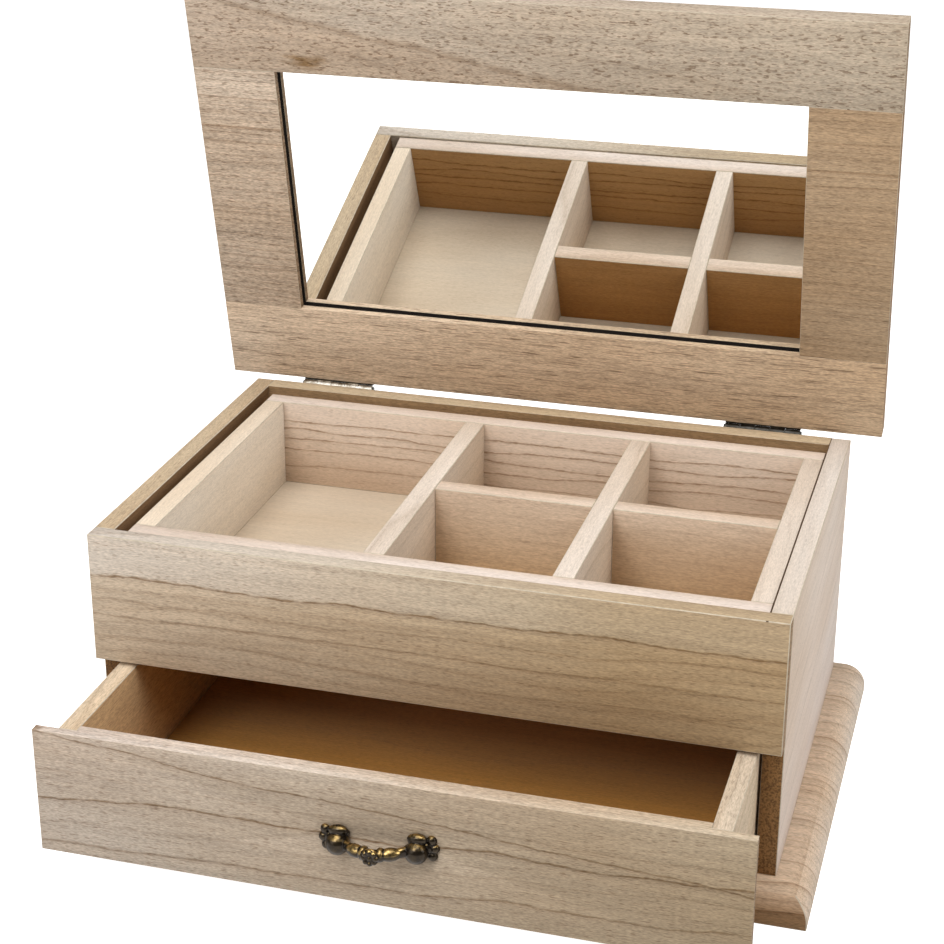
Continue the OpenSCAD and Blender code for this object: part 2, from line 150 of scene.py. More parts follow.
class VanityStageSettings(bpy.types.PropertyGroup):
    camera_place: FloatVectorProperty(
        name="Camera", description="Place of the camera", subtype="TRANSLATION", unit="LENGTH",
        size=3, default=(0.22434, -0.81101, 0.49109))
    yaw: FloatProperty(
        name="Yaw", description="Turn of the camera about the upright", unit="ROTATION",
        default=math.radians(15.948))
    pitch: FloatProperty(
        name="Pitch", description="Tilt of the camera, down is negative", unit="ROTATION",
        default=math.radians(-22.838))
    roll: FloatProperty(
        name="Roll", description="Roll of the camera about its view", unit="ROTATION",
        default=math.radians(-0.161))
    lens: FloatProperty(
        name="Lens", description="Focal length in millimetres", min=20, max=300, default=80.43)
    floor_w: FloatProperty(
        name="Floor", description="Width of the pale floor", unit="LENGTH", default=12)
    top_light: FloatProperty(
        name="Top light", description="Power of the large light overhead, in watts",
        min=0, default=17)
    right_light: FloatProperty(
        name="Right light", description="Power of the light on the right, in watts",
        min=0, default=8.5)
    left_light: FloatProperty(
        name="Left light", description="Power of the light in front on the left, in watts",
        min=0, default=3.2)
    front_light: FloatProperty(
        name="Front light", description="Power of the light above in front, in watts",
        min=0, default=7)
    fill: FloatProperty(
        name="Surrounding light", description="Strength of the white surroundings",
        min=0, default=0.22)
    glow: FloatProperty(
        name="Floor glow", description="How far the pale floor is lifted to white where it is seen",
        min=0, default=0.95)


# Small helpers for node trees

def add_node(tree, kind, values=None, **settings):
    node = tree.nodes.new("ShaderNode" + kind)
    for key, value in settings.items():
        setattr(node, key, value)
    for key, value in (values or {}).items():
        if isinstance(value, bpy.types.NodeSocket):
            tree.links.new(value, node.inputs[key])
        else:
            node.inputs[key].default_value = value
    return node


def calc(tree, operation, a, b=0.0, clamp=False):
    return add_node(tree, "Math", {0: a, 1: b}, operation=operation, use_clamp=clamp).outputs[0]


def blend(tree, factor, a, b, mode="MIX"):
    node = add_node(tree, "Mix", {0: factor, 6: a, 7: b}, data_type="RGBA", blend_type=mode)
    return node.outputs[2]


def ramp(tree, value, stops, interpolation="LINEAR"):
    node = add_node(tree, "ValToRGB", {"Fac": value})
    node.color_ramp.interpolation = interpolation
    elements = node.color_ramp.elements
    while len(elements) < len(stops):
        elements.new(0.5)
    for element, (place, grey) in zip(elements, stops):
        element.position = place
        element.color = (grey, grey, grey, 1)
    return node.outputs["Color"]


def noise(tree, vector, scale, detail=2.0, roughness=0.5, distortion=0.0):
    node = add_node(tree, "TexNoise", {
        "Vector": vector, "Scale": scale, "Detail": detail, "Roughness": roughness,
        "Distortion": distortion})
    return node.outputs["Fac"]


def stretch(tree, vector, scale, shift=(0, 0, 0)):
    return add_node(tree, "Mapping", {
        "Vector": vector, "Scale": scale, "Location": shift}).outputs["Vector"]


def new_group(name, inputs, outputs):
    tree = bpy.data.node_groups.new(name, "ShaderNodeTree")
    for title, kind, default in inputs:
        socket = tree.interface.new_socket(title, in_out="INPUT", socket_type="NodeSocket" + kind)
        socket.default_value = default
    for title, kind in outputs:
        tree.interface.new_socket(title, in_out="OUTPUT", socket_type="NodeSocket" + kind)
    return tree, tree.nodes.new("NodeGroupInput"), tree.nodes.new("NodeGroupOutput")


# Effects that several materials share

def wood_grain_group():
    """Solid wood, grain along X, in millimetres: rings about a far pith, fibres and pores"""
    tree, given, result = new_group("Wood grain", [
        ("Vector", "Vector", (0, 0, 0)),
        ("Pith Y", "Float", 20.0), ("Pith Z", "Float", -60.0),
        ("Ring Spacing", "Float", 7.0), ("Waviness", "Float", 9.0),
        ("Ring Strength", "Float", 0.5), ("Fibre Strength", "Float", 1.0),
        ("Pore Strength", "Float", 0.6), ("Pore Length", "Float", 5.0),
        ("Pore Width", "Float", 0.62),
        ("Pale", "Color", (0.62, 0.52, 0.4, 1)), ("Warm", "Color", (0.54, 0.42, 0.3, 1)),
        ("Ring", "Color", (0.27, 0.18, 0.1, 1)), ("Pore", "Color", (0.17, 0.1, 0.06, 1)),
    ], [("Color", "Color"), ("Roughness", "Float"), ("Height", "Float")])
    place = given.outputs["Vector"]
    parts = add_node(tree, "SeparateXYZ", {0: place}).outputs

    # Rings: distance to the pith, pushed about by slow noise
    slow = noise(tree, stretch(tree, place, (0.0045, 0.016, 0.016)), 1.0, 2.0)
    quick = noise(tree, stretch(tree, place, (0.02, 0.07, 0.07), (7, 3, 1)), 1.0, 2.0)
    push = calc(tree, "MULTIPLY", calc(tree, "SUBTRACT", slow, 0.5), given.outputs["Waviness"])
    push = calc(tree, "MULTIPLY", push, 4.0)
    nudge = calc(tree, "MULTIPLY", calc(tree, "SUBTRACT", quick, 0.5), given.outputs["Waviness"])
    across = calc(tree, "SUBTRACT", parts["Y"], given.outputs["Pith Y"])
    deep = calc(tree, "SUBTRACT", parts["Z"], given.outputs["Pith Z"])
    reach = calc(tree, "SQRT", calc(tree, "ADD", calc(tree, "MULTIPLY", across, across),
                                    calc(tree, "MULTIPLY", deep, deep)))
    reach = calc(tree, "ADD", calc(tree, "ADD", reach, push), calc(tree, "MULTIPLY", nudge, 0.4))
    rings = calc(tree, "DIVIDE", reach, given.outputs["Ring Spacing"])
    uneven = add_node(tree, "TexNoise", {"W": rings, "Scale": 0.6, "Detail": 1.0},
                      noise_dimensions="1D").outputs["Fac"]
    rings = calc(tree, "ADD", rings, calc(tree, "MULTIPLY", uneven, 1.6))
    turn = calc(tree, "FRACT", rings)
    line = ramp(tree, turn, [
        (0.0, 0.3), (0.1, 0.04), (0.6, 0.1), (0.86, 0.5), (0.95, 1.0), (1.0, 0.35)])
    soft = ramp(tree, turn, [(0.0, 0.5), (0.3, 0.0), (0.9, 0.8), (1.0, 0.55)], "EASE")
    which = add_node(tree, "TexWhiteNoise", {"W": calc(tree, "FLOOR", rings)},
                     noise_dimensions="1D").outputs["Value"]
    which = calc(tree, "ADD", calc(tree, "MULTIPLY", which, 0.8), 0.2)
    line = calc(tree, "MULTIPLY", line, which)
    line = calc(tree, "MULTIPLY", line, given.outputs["Ring Strength"], True)

    # Fibres: broad bands, crisp streaks about a millimetre wide, and a fine nap
    broad = noise(tree, stretch(tree, place, (0.014, 0.33, 0.33), (3, 9, 5)), 1.0, 2.0, 0.55)
    streak = noise(tree, stretch(tree, place, (0.08, 1.5, 1.5), (5, 1, 7)), 1.0, 2.0, 0.6)
    nap = noise(tree, stretch(tree, place, (0.5, 2.4, 2.4)), 1.0, 1.0, 0.6)
    patch = noise(tree, stretch(tree, place, (0.008, 0.03, 0.03), (2, 4, 8)), 1.0, 2.0, 0.5)
    crisp = ramp(tree, streak, [(0.38, 0), (0.62, 1)])
    fibre = calc(tree, "ADD", calc(tree, "MULTIPLY", broad, 0.35),
                 calc(tree, "MULTIPLY", crisp, 0.11))
    fibre = calc(tree, "ADD", fibre, calc(tree, "MULTIPLY", nap, 0.8))
    fibre = calc(tree, "MULTIPLY", calc(tree, "SUBTRACT", fibre, 0.63),
                 given.outputs["Fibre Strength"])

    # Pores: short dark dashes, denser where a ring begins
    lengthways = calc(tree, "DIVIDE", 1.3, given.outputs["Pore Length"])
    sideways = calc(tree, "DIVIDE", 1.3, given.outputs["Pore Width"])
    thin = add_node(tree, "CombineXYZ", {
        "X": lengthways, "Y": sideways, "Z": sideways}).outputs[0]
    drawn_out = add_node(tree, "VectorMath", {0: place, 1: thin}, operation="MULTIPLY").outputs[0]
    dash = noise(tree, drawn_out, 1.0, 1.0, 0.4, 0.15)
    dash = ramp(tree, dash, [(0.0, 0), (0.60, 0), (0.66, 1), (1.0, 1)])
    crowd = calc(tree, "ADD", calc(tree, "MULTIPLY", soft, 0.5), 0.5)
    dash = calc(tree, "MULTIPLY", calc(tree, "MULTIPLY", dash, crowd),
                given.outputs["Pore Strength"], True)

    tone = ramp(tree, patch, [(0.25, 0), (0.75, 1)])
    colour = blend(tree, tone, given.outputs["Pale"], given.outputs["Warm"])
    colour = blend(tree, line, colour, given.outputs["Ring"])
    lift = add_node(tree, "HueSaturation", {
        "Color": colour, "Value": calc(tree, "ADD", 1.0, fibre)}).outputs["Color"]
    colour = blend(tree, dash, lift, given.outputs["Pore"])
    tree.links.new(colour, result.inputs["Color"])
    rough = calc(tree, "ADD", 0.62, calc(tree, "MULTIPLY", streak, 0.2))
    tree.links.new(rough, result.inputs["Roughness"])
    height = calc(tree, "SUBTRACT", calc(tree, "MULTIPLY", streak, 0.5),
                  calc(tree, "MULTIPLY", dash, 0.9))
    tree.links.new(height, result.inputs["Height"])
    return tree


def vein_group():
    """One dark year ring line that runs along X at a height, with the wood below it shaded"""
    tree, given, result = new_group("Vein", [
        ("Vector", "Vector", (0, 0, 0)), ("Height", "Float", 0.0), ("Slope", "Float", 0.0),
        ("Sway", "Float", 1.5), ("Width", "Float", 0.6), ("Seed", "Float", 0.0),
    ], [("Line", "Float"), ("Below", "Float")])
    place = given.outputs["Vector"]
    parts = add_node(tree, "SeparateXYZ", {0: place}).outputs
    along = calc(tree, "ADD", calc(tree, "MULTIPLY", parts["X"], 0.011), given.outputs["Seed"])
    wander = add_node(tree, "TexNoise", {"W": along, "Scale": 1.0, "Detail": 2.0},
                      noise_dimensions="1D").outputs["Fac"]
    wander = calc(tree, "MULTIPLY", calc(tree, "SUBTRACT", wander, 0.5), given.outputs["Sway"])
    jag = noise(tree, stretch(tree, place, (0.16, 0.5, 0.5)), 1.0, 2.0, 0.6)
    jag = calc(tree, "MULTIPLY", calc(tree, "SUBTRACT", jag, 0.5), 1.7)
    middle = calc(tree, "ADD", given.outputs["Height"],
                  calc(tree, "MULTIPLY", parts["X"], given.outputs["Slope"]))
    middle = calc(tree, "ADD", calc(tree, "ADD", middle, calc(tree, "MULTIPLY", wander, 4.0)), jag)
    off = calc(tree, "DIVIDE", calc(tree, "SUBTRACT", parts["Z"], middle), given.outputs["Width"])
    crisp = calc(tree, "SUBTRACT", 1.3, calc(tree, "ABSOLUTE", off), True)
    tail = calc(tree, "ADD", 1.0, calc(tree, "DIVIDE", off, 6.0), True)
    tail = calc(tree, "MULTIPLY", tail, calc(tree, "LESS_THAN", off, 0.0))
    broken = add_node(tree, "TexNoise", {
        "W": calc(tree, "MULTIPLY", along, 9.0), "Scale": 1.0, "Detail": 2.0},
        noise_dimensions="1D").outputs["Fac"]
    broken = ramp(tree, broken, [(0.3, 0.25), (0.6, 1.0)])
    line = calc(tree, "ADD", calc(tree, "MULTIPLY", crisp, broken),
                calc(tree, "MULTIPLY", calc(tree, "MULTIPLY", tail, tail), 0.4), True)
    tree.links.new(line, result.inputs["Line"])
    below = calc(tree, "SUBTRACT", 0.5, calc(tree, "DIVIDE", off, 6.0), True)
    tree.links.new(below, result.inputs["Below"])
    return tree


def end_grain_group():
    """Mask of the faces that cut across the grain, the speckle of open pores there, and how far
    a face looks along the grain's own direction"""
    tree, given, result = new_group("End grain", [
        ("Normal", "Vector", (0, 0, 1)), ("Grain", "Vector", (1, 0, 0)),
        ("Vector", "Vector", (0, 0, 0)),
    ], [("Mask", "Float"), ("Facing", "Float"), ("Speckle", "Float")])
    dot = add_node(tree, "VectorMath", {0: given.outputs["Normal"], 1: given.outputs["Grain"]},
                   operation="DOT_PRODUCT").outputs["Value"]
    mask = ramp(tree, calc(tree, "ABSOLUTE", dot), [(0.5, 0), (0.95, 1)])
    tree.links.new(mask, result.inputs["Mask"])
    tree.links.new(calc(tree, "MULTIPLY", dot, 1.0, True), result.inputs["Facing"])
    spots = ramp(tree, noise(tree, given.outputs["Vector"], 1.1, 2.0, 0.6), [(0.42, 0), (0.62, 1)])
    tree.links.new(spots, result.inputs["Speckle"])
    return tree


def mottle_group():
    """Cloudy wear with fine scratches, for metal and glass"""
    tree, given, result = new_group("Mottle", [
        ("Vector", "Vector", (0, 0, 0)), ("Cloud Size", "Float", 3.0),
        ("Scratch Size", "Float", 12.0),
    ], [("Cloud", "Float"), ("Scratch", "Float")])
    cloud_scale = calc(tree, "DIVIDE", 1.0, given.outputs["Cloud Size"])
    cloud = noise(tree, add_node(tree, "VectorMath", {
        0: given.outputs["Vector"], "Scale": cloud_scale},
        operation="SCALE").outputs[0], 1.0, 4.0, 0.6)
    long_way = stretch(tree, given.outputs["Vector"], (0.1, 4, 4))
    scratch = noise(tree, add_node(tree, "VectorMath", {
        0: long_way, "Scale": calc(tree, "DIVIDE", 12.0, given.outputs["Scratch Size"])},
        operation="SCALE").outputs[0], 1.0, 2.0, 0.5)
    tree.links.new(cloud, result.inputs["Cloud"])
    tree.links.new(scratch, result.inputs["Scratch"])
    return tree


GROUPS = {}


def shared(name):
    """The shared effect of that name, built when it is first asked for"""
    makers = {"grain": wood_grain_group, "vein": vein_group, "ends": end_grain_group,
              "mottle": mottle_group}
    if name not in GROUPS:
        GROUPS[name] = makers[name]()
    return GROUPS[name]


def use_group(tree, name, values):
    node = add_node(tree, "Group", node_tree=shared(name))
    for key, value in values.items():
        if isinstance(value, bpy.types.NodeSocket):
            tree.links.new(value, node.inputs[key])
        else:
            node.inputs[key].default_value = value
    return node.outputs


def new_material(name):
    material = bpy.data.materials.new(name)
    material.use_nodes = True
    tree = material.node_tree
    tree.nodes.clear()
    finish = tree.nodes.new("ShaderNodeOutputMaterial")
    shader = tree.nodes.new("ShaderNodeBsdfPrincipled")
    tree.links.new(shader.outputs[0], finish.inputs["Surface"])
    return material, tree, shader


def millimetres(tree, turn=(0, 0, 0)):
    coords = add_node(tree, "TexCoord")
    return add_node(tree, "Mapping", {
        "Vector": coords.outputs["Object"], "Scale": (1000, 1000, 1000),
        "Rotation": turn}).outputs["Vector"]


def rgba(colour, gain=1.0):
    return (colour[0] * gain, colour[1] * gain, colour[2] * gain, 1)


def tinted(colour, tint):
    return tuple(min(1.0, c * t) for c, t in zip(colour, tint)) + (1,)


# The usual look of a board. left and right tint it at the two ends of drift: an axis, a start and
# an end in millimetres; on several boards the drift is painted shade, darker where less light
# falls.
# pith is where the middle of the tree lay. end and speck are for end grain. faces paints light and
# shade onto the faces that look one way, a tint for how the light falls on them. lean turns the
# grain
# with the lid. A vein is a year ring line: height, slope, sway, width and strength, and below tints
# the wood under the first one. A knot has its x, its height and half its width and height.
USUAL_LOOK = {
    "left": (1, 1, 1), "right": None, "drift": ("X", -145.0, 145.0),
    "pale": None, "warm": None, "lean": 0.0,
    "pith": (25.0, -70.0), "spacing": 7.0, "wave": 9.0, "rings": 0.4, "fibres": 1.0,
    "pores": 0.5, "pore": 5.0, "pore_w": 0.6,
    "end": (0.82, 0.72, 0.60), "speck": 0.45, "faces": (),
    "veins": (), "below": (1, 1, 1), "knot": None,
}


def wood(name, along, seed, **own):
    """One board's wood: grain along X or Y, its own figure, and its own changes to the look"""
    look = dict(USUAL_LOOK)
    look.update(own)
    colours = bpy.context.scene.vanity_wood
    material, tree, shader = new_material("wood_" + name)
    turn = (look["lean"], 0, 0) if along == "X" else (0, 0, -math.pi / 2)
    level = millimetres(tree, turn)
    place = add_node(tree, "Mapping", {
        "Vector": level, "Location": (seed * 137.0, 0, 0)}).outputs["Vector"]

    # The colour drifts over the board, mostly from the left end of the box to its right end; on
    # several boards the drift is painted shade, darker where less light falls
    axis, start, stop = look["drift"]
    travel = add_node(tree, "SeparateXYZ", {0: millimetres(tree)}).outputs[axis]
    drift = add_node(tree, "MapRange", {
        "Value": travel, 1: start, 2: stop, 3: 0.0, 4: 1.0}).outputs[0]
    right = look["right"] or look["left"]
    pale, warm = look["pale"] or colours.pale, look["warm"] or colours.warm
    grain = use_group(tree, "grain", {
        "Vector": place, "Pith Y": look["pith"][0], "Pith Z": look["pith"][1],
        "Ring Spacing": look["spacing"], "Waviness": look["wave"],
        "Ring Strength": look["rings"], "Fibre Strength": look["fibres"],
        "Pore Strength": look["pores"], "Pore Length": look["pore"],
        "Pore Width": look["pore_w"],
        "Pale": blend(tree, drift, tinted(pale, look["left"]), tinted(pale, right)),
        "Warm": blend(tree, drift, tinted(warm, look["left"]), tinted(warm, right)),
        "Ring": blend(tree, drift, tinted(colours.ring, look["left"]), tinted(colours.ring, right)),
        "Pore": rgba(colours.pore)})
    colour = grain["Color"]
    for count, (height, slope, sway, width, strength) in enumerate(look["veins"]):
        vein = use_group(tree, "vein", {
            "Vector": level, "Height": height, "Slope": slope, "Sway": sway, "Width": width,
            "Seed": seed * 3.7 + count * 11.3})
        dark = blend(tree, 1.0, colour, VEIN_SHADE, "MULTIPLY")
        colour = blend(tree, calc(tree, "MULTIPLY", vein["Line"], strength), colour, dark)
        if count == 0 and look["below"] != (1, 1, 1):
            shade = blend(tree, vein["Below"], PLAIN, rgba(look["below"]))
            colour = blend(tree, 1.0, colour, shade, "MULTIPLY")
    if look["knot"]:
        x, z, half_w, half_h = look["knot"]
        bent = add_node(tree, "Mapping", {
            "Vector": level, "Location": (-x / half_w, 0, -z / half_h),
            "Scale": (1 / half_w, 0, 1 / half_h)}).outputs["Vector"]
        away = add_node(tree, "VectorMath", {0: bent}, operation="LENGTH").outputs["Value"]
        rough_edge = noise(tree, stretch(tree, level, (0.12, 0.5, 0.5)), 1.0, 3.0)
        rough_edge = calc(tree, "SUBTRACT", rough_edge, 0.5)
        away = calc(tree, "ADD", away, calc(tree, "MULTIPLY", rough_edge, 1.6))
        colour = blend(tree, ramp(tree, away, [(0.25, 1), (1.0, 0)]), colour,
                       blend(tree, 1.0, colour, KNOT_SHADE, "MULTIPLY"))
    grain_way = (1, 0, 0) if along == "X" else (0, 1, 0)
    normal = add_node(tree, "TexCoord").outputs["Normal"]
    ends = use_group(tree, "ends", {"Normal": normal, "Grain": grain_way, "Vector": level})
    cut = blend(tree, ends["Speckle"], rgba(look["end"]), rgba(look["end"], look["speck"]))
    colour = blend(tree, 1.0, colour, blend(tree, ends["Mask"], PLAIN, cut), "MULTIPLY")
    # Painted light and shade: faces that look one way are tinted paler or darker, as the light
    # falls on them
    for facing, tint in look["faces"]:
        side = use_group(tree, "ends", {"Normal": normal, "Grain": facing, "Vector": level})
        shade = blend(tree, side["Facing"], PLAIN, rgba(tint))
        colour = blend(tree, 1.0, colour, shade, "MULTIPLY")
    tree.links.new(colour, shader.inputs["Base Color"])
    tree.links.new(grain["Roughness"], shader.inputs["Roughness"])
    bump = add_node(tree, "Bump", {
        "Height": grain["Height"], "Strength": 0.3, "Distance": 0.0002})
    tree.links.new(bump.outputs["Normal"], shader.inputs["Normal"])
    shader.inputs["Specular IOR Level"].default_value = 0.2
    return material


def cut_wood():
    """Eased edges of every board, paler than the faces, partly as freshly cut wood and partly as a
    painted highlight along each edge
    """
    if "wood_eased_edge" in bpy.data.materials:
        return bpy.data.materials["wood_eased_edge"]
    colours = bpy.context.scene.vanity_wood
    material, tree, shader = new_material("wood_eased_edge")
    place = millimetres(tree)
    nick = ramp(tree, noise(tree, place, 0.35, 3.0, 0.6), [(0.35, 0), (0.65, 1)])
    pale = blend(tree, nick, rgba(colours.cut), rgba(colours.cut, 0.75))
    # Painted shade: the eased edges beside the narrow gap between the tray and the right side are
    # coloured near black, as they lie in its shade
    across = add_node(tree, "SeparateXYZ", {0: place}).outputs["X"]
    gap = 1000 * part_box("tray_right_wall")[1][0]
    off = calc(tree, "ABSOLUTE", calc(tree, "SUBTRACT", across, gap))
    tree.links.new(blend(tree, calc(tree, "LESS_THAN", off, 0.5), pale, GAP_PAINTED_SHADE),
                   shader.inputs["Base Color"])
    shader.inputs["Roughness"].default_value = 0.7
    shader.inputs["Specular IOR Level"].default_value = 0.2
    return material


# Making pieces

def finish_piece(name, mesh_data, body, materials, replaced=(), angle=30):
    """Turns a bmesh into a finished piece that rides on its body"""
    mesh = bpy.data.meshes.new(name)
    mesh_data.to_mesh(mesh)
    mesh_data.free()
    piece = bpy.data.objects.new(name, mesh)
    bpy.context.scene.collection.objects.link(piece)
    for material in materials:
        mesh.materials.append(material)
    mesh.shade_smooth()
    mesh.set_sharp_from_angle(angle=math.radians(angle))
    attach(piece, body)
    if replaced:
        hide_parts(*replaced)
    return piece


def merged_copy(node):
    """A node's mesh with its loose triangles merged into flat faces"""
    work = bmesh.new()
    work.from_mesh(frame["nodes"][node].data)
    bmesh.ops.remove_doubles(work, verts=work.verts, dist=1e-6)
    bmesh.ops.dissolve_limit(work, angle_limit=math.radians(1), verts=work.verts,
                             edges=work.edges)
    return work


def eased_board(node, body, material, edge):
    """A board with its sharp edges eased, in place of its plain solid"""
    work = merged_copy(node)
    sharp = [e for e in work.edges if len(e.link_faces) == 2 and e.calc_face_angle(0) > 0.6]
    bmesh.ops.bevel(work, geom=sharp, offset=edge, offset_type="OFFSET", segments=2,
                    profile=0.5, affect="EDGES", clamp_overlap=True, material=1)
    return finish_piece(node + "_wood", work, body, [material, cut_wood()], [node])


def add_ball(work, place, radii):
    """Adds a rounded form with its own reach along X, Y and Z"""
    made = bmesh.ops.create_uvsphere(work, u_segments=32, v_segments=24, radius=1.0)["verts"]
    bmesh.ops.scale(work, vec=radii, verts=made)
    bmesh.ops.translate(work, vec=place, verts=made)


def set_material(node, material):
    """Gives a node that keeps its own shape a better finish"""
    mesh = frame["nodes"][node].data
    mesh.materials.clear()
    mesh.materials.append(material)


def joint_place(name):
    joint = next(j for j in frame["joints"] if j["name"] == name)
    return Vector(joint["pos_m"]), joint


def lid_turn():
    """Turns a piece that is drawn on the shut lid to where the lid stands"""
    place, joint = joint_place("lid_hinge")
    angle = math.radians(joint["range_deg"][0])
    return (Matrix.Translation(place) @ Matrix.Rotation(angle, 4, "X")
            @ Matrix.Translation(-place))


# Operators, one for each piece or group of like pieces

class VANITY_OT_case(bpy.types.Operator):
    """Case: base, sides, back, upper front and shelf in raw pale wood"""
    bl_idname = "vanity.case"
    bl_label = "Case"

    def execute(self, context):
        edge = context.scene.vanity_wood.edge
        looks = {
            # Painted light and shade on the base: its front face much darker and its top a little
            # darker, its rounded ends paler as a painted highlight
            "base_board": {"left": (1.28, 1.28, 1.36), "pith": (-190.0, -30.0), "spacing": 6.0,
                           "rings": 0.95, "fibres": 1.2, "pores": 0.4,
                           "end": (1.04, 1.09, 1.15), "speck": 0.86,
                           "faces": [((0, -1, 0), (0.38, 0.27, 0.16)),
                                     ((0, 0, 1), (0.88, 0.83, 0.77))]},
            # Painted shade on the left side: its inner face and its front end are darker, and its
            # end grain darker than the usual end grain
            "left_side": {"left": (0.9, 0.86, 0.78), "end": (0.75, 0.62, 0.48),
                          "faces": [((1, 0, 0), (0.34, 0.24, 0.16)),
                                    ((0, -1, 0), (0.48, 0.35, 0.21))]},
            # Painted light and shade on the right side: its inner face and its front end darker,
            # its top bluer, its end grain darker than the usual; it grows paler and bluer towards
            # the bottom
            "right_side": {"left": (1.14, 1.15, 1.26), "right": (1.22, 1.27, 1.50),
                           "drift": ("Z", 125.0, 20.0),
                           "veins": [(100.0, 0.11, 1.5, 0.5, 0.3), (84.0, 0.13, 1.2, 0.4, 0.3),
                                     (61.0, 0.10, 1.6, 0.5, 0.35), (38.0, 0.08, 1.0, 0.4, 0.25)],
                           "rings": 0.15, "pores": 0.15, "fibres": 0.6,
                           "end": (0.75, 0.62, 0.48),
                           "faces": [((-1, 0, 0), (0.6, 0.5, 0.4)),
                                     ((0, -1, 0), (0.52, 0.38, 0.20)),
                                     ((0, 0, 1), (0.97, 1.05, 1.14))]},
            # Painted shade on the back panel: its front face, inside the case, darker; its top a
            # little darker
            "back_panel": {"left": (0.96, 0.92, 0.84),
                           "faces": [((0, -1, 0), (0.44, 0.33, 0.22)),
                                     ((0, 0, 1), (0.96, 0.96, 0.93))]},
            # Painted light and shade on the upper front: darker towards the right, away from the
            # light on the left, and its top a little bluer
            "front_panel": {"left": (0.96, 1.0, 1.10), "right": (0.73, 0.665, 0.55),
                            "drift": ("X", -145.0, 80.0),
                            "faces": [((0, 0, 1), (1.0, 1.03, 1.08))], "fibres": 1.1,
                            "pith": (-60.0, 330.0), "spacing": 8.0, "rings": 0.45,
                            "below": (0.95, 0.89, 0.80),
                            "veins": [
                                (113.0, 0.004, 1.4, 0.5, 0.95), (95.5, 0.004, 1.0, 0.45, 0.55),
                                (104.0, 0.02, 2.0, 0.45, 0.4), (84.0, -0.01, 2.0, 0.45, 0.35),
                                (107.5, 0.01, 2.0, 1.6, 0.18), (90.0, 0.0, 2.0, 1.8, 0.18)]},
        }
        for node, along, seed in CASE_BOARDS:
            material = wood(node, along, seed, **looks.get(node, {}))
            eased_board(node, "case", material, edge)
        return {"FINISHED"}


class VANITY_OT_tray(bpy.types.Operator):
    """Loose tray: walls, dividers and floor"""
    bl_idname = "vanity.tray"
    bl_label = "Tray"

    def execute(self, context):
        edge = context.scene.vanity_wood.edge
        for node, along, seed in TRAY_BOARDS:
            # Painted light and shade on the tray: wall faces that look back are a darker amber,
            # tops paler and bluer
            own = {"rings": 0.3, "spacing": 6.0, "pith": (10.0, 40.0), "left": (1.05, 1.06, 1.12),
                   "fibres": 0.6, "pores": 0.2,
                   "faces": [((0, 1, 0), (0.70, 0.50, 0.25)), ((0, 0, 1), (1.02, 1.06, 1.14))]}
            # Painted shade: the cross dividers grow darker and warmer towards the tray's floor
            if "cross" in node:
                own.update(left=(0.99, 0.93, 0.92), right=(0.84, 0.69, 0.53), rings=0.15,
                           drift=("Z", 128.0, 92.0), fibres=0.8)
            # Painted light: the left wall, whose inner face meets the light from the right, is
            # tinted paler and bluer all over; its top a little darker
            if node == "tray_left_wall":
                own.update(left=(1.24, 1.34, 1.48), rings=0.08, pores=0.15, fibres=0.6,
                           faces=[((0, 0, 1), (0.92, 0.86, 0.80))])
            # Painted shade: the front and back walls grow darker towards the tray's floor
            if along == "X" and "wall" in node:
                own.update(
                    pith=(0.0, 400.0), rings=0.2, pores=0.3, left=(1.10, 1.09, 1.17),
                    right=(0.96, 0.89, 0.88), drift=("Z", 127.0, 92.0),
                    veins=[(121.0, 0.0, 1.4, 0.38, 0.9), (116.5, 0.004, 1.6, 0.38, 0.9),
                           (111.0, -0.006, 1.6, 0.35, 0.85), (106.0, 0.0, 1.8, 0.35, 0.8),
                           (99.0, 0.004, 1.8, 0.35, 0.6)])
            material = wood(node, along, seed, **own)
            eased_board(node, "tray", material, edge)
        floor = wood("tray_floor", "X", 24, rings=0.08, pores=0.15, fibres=0.4, spacing=16.0,
                     left=(1.02, 1.05, 1.09))
        eased_board("tray_floor", "tray", floor, edge)
        return {"FINISHED"}


